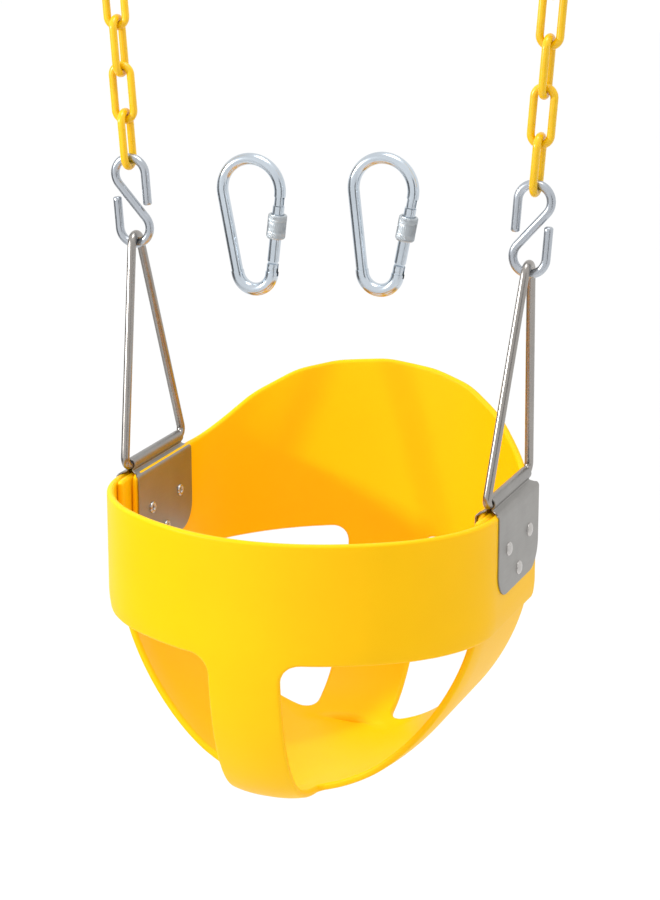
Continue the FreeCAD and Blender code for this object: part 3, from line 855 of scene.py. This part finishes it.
def math_node(tree, operation, first, second=None):
    """Maths node fed by sockets or plain numbers; returns its result socket."""
    node = tree.nodes.new("ShaderNodeMath")
    node.operation = operation
    for socket, value in zip(node.inputs, (first, second)):
        if isinstance(value, (int, float)):
            socket.default_value = value
        elif value is not None:
            tree.links.new(value, socket)
    return node.outputs[0]


def knurl_tree(material):
    """Diamond-knurled sleeve: a rounded wall section swept round, its outside ridged."""
    tree = geometry_tree("knurled_sleeve")
    link_socket(tree, "Radius", "NodeSocketFloat", 0.0062)
    link_socket(tree, "Bore", "NodeSocketFloat", 0.0043)
    link_socket(tree, "Length", "NodeSocketFloat", 0.0165)
    link_socket(tree, "Ridges", "NodeSocketFloat", 30.0)
    link_socket(tree, "Ridge Height", "NodeSocketFloat", 0.0003)
    new = tree.nodes.new
    gin, gout = new("NodeGroupInput"), new("NodeGroupOutput")
    grid = new("GeometryNodeMeshGrid")
    grid.inputs["Vertices X"].default_value = 241
    grid.inputs["Vertices Y"].default_value = 113
    grid.inputs["Size X"].default_value = 1.0
    grid.inputs["Size Y"].default_value = 1.0
    where = new("GeometryNodeInputPosition")
    split = new("ShaderNodeSeparateXYZ")
    tree.links.new(where.outputs[0], split.inputs[0])
    angle = math_node(tree, "MULTIPLY", split.outputs["X"], 2 * math.pi)
    lap = math_node(tree, "MULTIPLY", split.outputs["Y"], 2 * math.pi)
    wall = math_node(tree, "MULTIPLY",
                     math_node(tree, "SUBTRACT", gin.outputs["Radius"], gin.outputs["Bore"]), 0.5)
    middle = math_node(tree, "ADD", gin.outputs["Bore"], wall)
    tall = math_node(tree, "MULTIPLY", gin.outputs["Length"], 0.5)

    def squared(trig, power):
        wave = math_node(tree, trig, lap)
        size = math_node(tree, "POWER", math_node(tree, "ABSOLUTE", wave), power)
        return math_node(tree, "MULTIPLY", size, math_node(tree, "SIGN", wave))

    across = squared("COSINE", 0.16)
    up = squared("SINE", 0.55)
    height = math_node(tree, "MULTIPLY", up, tall)
    spin = math_node(tree, "MULTIPLY", angle, gin.outputs["Ridges"])
    rise = math_node(tree, "MULTIPLY", height, 5200.0)
    one = math_node(tree, "COSINE", math_node(tree, "ADD", spin, rise))
    two = math_node(tree, "COSINE", math_node(tree, "SUBTRACT", spin, rise))
    ridge = math_node(tree, "MULTIPLY", math_node(tree, "MAXIMUM", one, two),
                      gin.outputs["Ridge Height"])
    outside = math_node(tree, "GREATER_THAN", across, 0.9)
    radius = math_node(tree, "ADD", middle, math_node(tree, "MULTIPLY", across, wall))
    radius = math_node(tree, "ADD", radius, math_node(tree, "MULTIPLY", ridge, outside))
    place = new("ShaderNodeCombineXYZ")
    tree.links.new(math_node(tree, "MULTIPLY", radius, math_node(tree, "COSINE", angle)),
                   place.inputs["X"])
    tree.links.new(math_node(tree, "MULTIPLY", radius, math_node(tree, "SINE", angle)),
                   place.inputs["Y"])
    tree.links.new(height, place.inputs["Z"])
    move = new("GeometryNodeSetPosition")
    close = new("GeometryNodeMergeByDistance")
    close.inputs["Distance"].default_value = 0.00002
    spread_out = new("GeometryNodeInstanceOnPoints")
    turn = new("GeometryNodeInputNamedAttribute")
    turn.data_type = "FLOAT_VECTOR"
    turn.inputs["Name"].default_value = "turn"
    real = new("GeometryNodeRealizeInstances")
    finish = new("GeometryNodeSetMaterial")
    finish.inputs["Material"].default_value = material
    wire_up(tree, [
        (grid.outputs["Mesh"], move.inputs["Geometry"]),
        (place.outputs[0], move.inputs["Position"]),
        (move.outputs["Geometry"], close.inputs["Geometry"]),
        (close.outputs["Geometry"], spread_out.inputs["Instance"]),
        (gin.outputs["Geometry"], spread_out.inputs["Points"]),
        (turn.outputs["Attribute"], spread_out.inputs["Rotation"]),
        (spread_out.outputs["Instances"], real.inputs["Geometry"]),
        (real.outputs["Geometry"], finish.inputs["Geometry"]),
        (finish.outputs["Geometry"], gout.inputs["Geometry"]),
    ])
    return tree


class SWING_OT_carabiners(bpy.types.Operator):
    """Give the loose carabiners their plated finish and knurled sleeves."""
    bl_idname = "swing.carabiners"
    bl_label = "Carabiners"

    def execute(self, context):
        sizes = context.scene.swing_metal
        zinc = zinc_plate("zinc_carabiner", (0.57, 0.63, 0.69), 0.20)
        knurled = knurl_zinc()
        for name, obj in frame["nodes"].items():
            if name.startswith("carabiner"):
                obj.data.materials.clear()
                obj.data.materials.append(zinc)
        tree = knurl_tree(knurled)
        for side in SIDES:
            pivot, axis = gate_axis(side)
            low, high = (Vector(c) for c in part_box("carabiner_sleeve_" + side))
            middle = (low + high) / 2
            middle = pivot + axis * (middle - pivot).dot(axis)
            turn = tuple(axis.to_track_quat("Z", "Y").to_euler())
            grown("sleeve_knurl_" + side, point_mesh("sleeve_point", [tuple(middle)], [turn]),
                  tree, {"Radius": 0.0061, "Bore": 0.0043, "Length": 0.0165, "Ridge Height": 0.0004,
                         "Ridges": float(sizes.teeth)}, knurled, "sleeve_" + side,
                  ["carabiner_sleeve_" + side])
        return {"FINISHED"}


# ---- materials -----------------------------------------------------------------------------------
def shader(name):
    material = bpy.data.materials.new(name)
    material.use_nodes = True
    nodes = material.node_tree.nodes
    bsdf = nodes["Principled BSDF"]
    coords = nodes.new("ShaderNodeTexCoord")
    return material, nodes, material.node_tree.links, bsdf, coords


def noise(nodes, links, coords, scale, detail=3.0, rough=0.5, stretch=None):
    tex = nodes.new("ShaderNodeTexNoise")
    tex.inputs["Scale"].default_value = scale
    tex.inputs["Detail"].default_value = detail
    tex.inputs["Roughness"].default_value = rough
    if stretch:
        mapping = nodes.new("ShaderNodeMapping")
        mapping.inputs["Scale"].default_value = stretch
        links.new(coords.outputs["Object"], mapping.inputs["Vector"])
        links.new(mapping.outputs["Vector"], tex.inputs["Vector"])
    else:
        links.new(coords.outputs["Object"], tex.inputs["Vector"])
    return tex.outputs["Fac"]


def ramp(nodes, links, value, stops):
    node = nodes.new("ShaderNodeValToRGB")
    links.new(value, node.inputs["Fac"])
    elements = node.color_ramp.elements
    while len(elements) < len(stops):
        elements.new(0.5)
    for element, (at, colour) in zip(elements, stops):
        element.position = at
        element.color = (*colour, 1.0)
    return node.outputs["Color"]


def spread(nodes, links, value, low, high):
    node = nodes.new("ShaderNodeMapRange")
    node.inputs["To Min"].default_value = low
    node.inputs["To Max"].default_value = high
    links.new(value, node.inputs["Value"])
    return node.outputs["Result"]


def bump(nodes, links, bsdf, value, strength, distance, after=None):
    node = nodes.new("ShaderNodeBump")
    node.inputs["Strength"].default_value = strength
    node.inputs["Distance"].default_value = distance
    links.new(value, node.inputs["Height"])
    if after:
        links.new(after, node.inputs["Normal"])
    links.new(node.outputs["Normal"], bsdf.inputs["Normal"])
    return node.outputs["Normal"]


def tint(colour, factor):
    return tuple(min(1.0, c * factor) for c in colour)


def foam(colour):
    """Moulded closed-cell foam: satin skin, faint cloudy colour and very fine pores."""
    material, nodes, links, bsdf, coords = shader("moulded_foam")
    colour = tuple(colour)
    cloud = noise(nodes, links, coords, 9.0, 3.0, 0.55)
    links.new(ramp(nodes, links, cloud, [(0.30, tint(colour, 0.97)), (0.70, tint(colour, 1.03))]),
              bsdf.inputs["Base Color"])
    grain = noise(nodes, links, coords, 900.0, 2.0, 0.5)
    links.new(spread(nodes, links, grain, 0.40, 0.52), bsdf.inputs["Roughness"])
    swell = bump(nodes, links, bsdf, noise(nodes, links, coords, 14.0, 2.0, 0.5), 0.12, 0.002)
    bump(nodes, links, bsdf, grain, 0.10, 0.0003, swell)
    bsdf.inputs["Specular IOR Level"].default_value = 0.14
    bsdf.inputs["Subsurface Weight"].default_value = 0.10
    bsdf.inputs["Subsurface Radius"].default_value = (0.004, 0.002, 0.0004)
    bsdf.inputs["Subsurface Scale"].default_value = 0.6
    return material


def dipped_coat(colour):
    """Plastic coat dipped over the chain: glossy, slightly lumpy."""
    material, nodes, links, bsdf, coords = shader("dipped_coat")
    colour = tuple(colour)
    cloud = noise(nodes, links, coords, 60.0, 3.0, 0.5)
    links.new(ramp(nodes, links, cloud, [(0.3, tint(colour, 0.94)), (0.7, tint(colour, 1.05))]),
              bsdf.inputs["Base Color"])
    links.new(spread(nodes, links, noise(nodes, links, coords, 220.0), 0.22, 0.36),
              bsdf.inputs["Roughness"])
    swell = bump(nodes, links, bsdf, noise(nodes, links, coords, 110.0, 2.0), 0.25, 0.0008)
    bump(nodes, links, bsdf, noise(nodes, links, coords, 1400.0, 2.0), 0.06, 0.0002, swell)
    bsdf.inputs["Specular IOR Level"].default_value = 0.5
    bsdf.inputs["Subsurface Weight"].default_value = 0.1
    bsdf.inputs["Subsurface Radius"].default_value = (0.002, 0.001, 0.0002)
    bsdf.inputs["Subsurface Scale"].default_value = 0.5
    return material


def metal(name, colour, rough, stretch, scale, strength):
    material, nodes, links, bsdf, coords = shader(name)
    bsdf.inputs["Metallic"].default_value = 1.0
    cloud = noise(nodes, links, coords, 40.0, 4.0, 0.6)
    links.new(ramp(nodes, links, cloud, [(0.25, tint(colour, 0.90)), (0.75, tint(colour, 1.06))]),
              bsdf.inputs["Base Color"])
    grain = noise(nodes, links, coords, scale, 4.0, 0.6, stretch)
    links.new(spread(nodes, links, grain, rough[0], rough[1]), bsdf.inputs["Roughness"])
    bump(nodes, links, bsdf, grain, strength, 0.0002)
    return material


def sheet_steel():
    """Satin sheet with fine grain along the hanger's length."""
    return metal("satin_sheet", (0.31, 0.30, 0.285), (0.34, 0.50), (6, 0.25, 6), 220.0, 0.10)


def rivet_steel():
    return metal("rivet_metal", (0.52, 0.50, 0.48), (0.22, 0.34), (1, 1, 1), 300.0, 0.06)


def wire_steel():
    """Polished wire with faint drawing lines along its length."""
    return metal("drawn_wire", (0.33, 0.31, 0.29), (0.22, 0.34), (3, 3, 0.15), 260.0, 0.05)


def zinc_plate(name, colour, rough):
    """Bright zinc plating with a faint blue cast."""
    return metal(name, colour, (rough - 0.06, rough + 0.08), (1, 1, 1), 180.0, 0.08)


def knurl_zinc():
    return metal("knurled_zinc", (0.50, 0.54, 0.57), (0.30, 0.44), (1, 1, 1), 400.0, 0.12)


# ---- stage ---------------------------------------------------------------------------------------
def stage_paper(name, shade):
    material, nodes, links, bsdf, coords = shader(name)
    cloud = noise(nodes, links, coords, 3.0, 2.0)
    links.new(ramp(nodes, links, cloud, [(0.0, (shade * 0.98,) * 3), (1.0, (shade,) * 3)]),
              bsdf.inputs["Base Color"])
    bsdf.inputs["Specular IOR Level"].default_value = 0.0
    bsdf.inputs["Roughness"].default_value = 0.9
    return material


def area_light(name, at, target, size, power, colour=(1, 1, 1)):
    light = bpy.data.lights.new(name, "AREA")
    light.shape = "DISK"
    light.size = size
    light.energy = power
    light.color = colour
    obj = bpy.data.objects.new(name, light)
    bpy.context.scene.collection.objects.link(obj)
    obj.location = at
    obj.rotation_euler = (Vector(target) - Vector(at)).to_track_quat("-Z", "Y").to_euler()
    return obj


class SWING_OT_stage(bpy.types.Operator):
    """Place the floor, the studio lights and the camera."""
    bl_idname = "swing.stage"
    bl_label = "Stage"

    def execute(self, context):
        sizes = context.scene.swing_stage
        z = CAD_BOX[0][2] - sizes.floor
        mesh = bpy.data.meshes.new("floor")
        mesh.from_pydata([(-12, -12, z), (12, -12, z), (12, 12, z), (-12, 12, z)], [],
                         [(0, 1, 2, 3)])
        floor = bpy.data.objects.new("floor", mesh)
        context.scene.collection.objects.link(floor)
        mesh.materials.append(stage_paper("stage_paper", 0.98))
        world = bpy.data.worlds.new("studio")
        world.use_nodes = True
        world.node_tree.nodes["Background"].inputs["Color"].default_value = (1, 1, 1, 1)
        world.node_tree.nodes["Background"].inputs["Strength"].default_value = 1.04
        context.scene.world = world
        middle = (0, 0, BAR_Z - 0.05)
        area_light("key", (-0.98, -0.83, BAR_Z + 0.42), middle, 0.13, 11.5)
        area_light("overhead", (0.10, -0.15, BAR_Z + 1.3), middle, 0.6, 7.0)
        # Dark cards at the sides give the polished wire its dark edges, out of the camera's sight.
        dark = stage_paper("stage_card", 0.10)
        for x, near, far in ((-2.3, -2.3, 0.4), (2.3, -2.9, -1.5)):
            wide = [(x, near), (x, far)]
            low, high = z + 0.05, BAR_Z + 1.0
            mesh = bpy.data.meshes.new("card")
            mesh.from_pydata([(*wide[0], low), (*wide[1], low), (*wide[1], high),
                              (*wide[0], high)], [], [(0, 1, 2, 3)])
            card = bpy.data.objects.new("card", mesh)
            context.scene.collection.objects.link(card)
            mesh.materials.append(dark)
            card.visible_camera = False
        a, e = sizes.azimuth, sizes.elevation
        forward = Vector((-math.sin(a) * math.cos(e), math.cos(a) * math.cos(e), -math.sin(e)))
        right = Vector((math.cos(a), math.sin(a), 0))
        up = right.cross(forward)
        camera = bpy.data.cameras.new("camera")
        camera.sensor_fit = "VERTICAL"
        camera.sensor_height = 36.0
        camera.lens = sizes.lens
        obj = bpy.data.objects.new("camera", camera)
        context.scene.collection.objects.link(obj)
        turn = Matrix((right, up, -forward)).transposed().to_4x4()
        spot = Vector((0, 0, BAR_Z)) + right * 0.0023 + up * 0.0128 - forward * sizes.distance
        obj.matrix_world = Matrix.Translation(spot) @ turn
        context.scene.camera = obj
        context.scene.view_settings.view_transform = "Standard"
        return {"FINISHED"}


# ---- panel and start -----------------------------------------------------------------------------
STEPS = ("seat", "plates", "rivets", "hangers", "chains", "carabiners", "stage")


class SWING_PT_panel(bpy.types.Panel):
    """Sidebar list of the swing's pieces."""
    bl_idname = "SWING_PT_panel"
    bl_label = "Bucket swing"
    bl_space_type = "VIEW_3D"
    bl_region_type = "UI"
    bl_category = "Swing"

    def draw(self, context):
        for step in STEPS:
            self.layout.operator("swing." + step)
        for group in ("swing_seat", "swing_chain", "swing_metal", "swing_stage"):
            data = getattr(context.scene, group)
            box = self.layout.box()
            for name in data.bl_rna.properties.keys():
                if name not in ("rna_type", "name"):
                    box.prop(data, name)


CLASSES = (SwingSeatSizes, SwingChainSizes, SwingMetalSizes, SwingStageSizes, SWING_OT_seat,
           SWING_OT_plates, SWING_OT_rivets, SWING_OT_hangers, SWING_OT_chains,
           SWING_OT_carabiners, SWING_OT_stage, SWING_PT_panel)


def register():
    for cls in CLASSES:
        bpy.utils.register_class(cls)
    bpy.types.Scene.swing_seat = PointerProperty(type=SwingSeatSizes)
    bpy.types.Scene.swing_chain = PointerProperty(type=SwingChainSizes)
    bpy.types.Scene.swing_metal = PointerProperty(type=SwingMetalSizes)
    bpy.types.Scene.swing_stage = PointerProperty(type=SwingStageSizes)


def unregister():
    for name in ("swing_seat", "swing_chain", "swing_metal", "swing_stage"):
        delattr(bpy.types.Scene, name)
    for cls in reversed(CLASSES):
        bpy.utils.unregister_class(cls)


def main():
    register()
    for step in STEPS:
        getattr(bpy.ops.swing, step)()


if __name__ == "__main__":
    main()
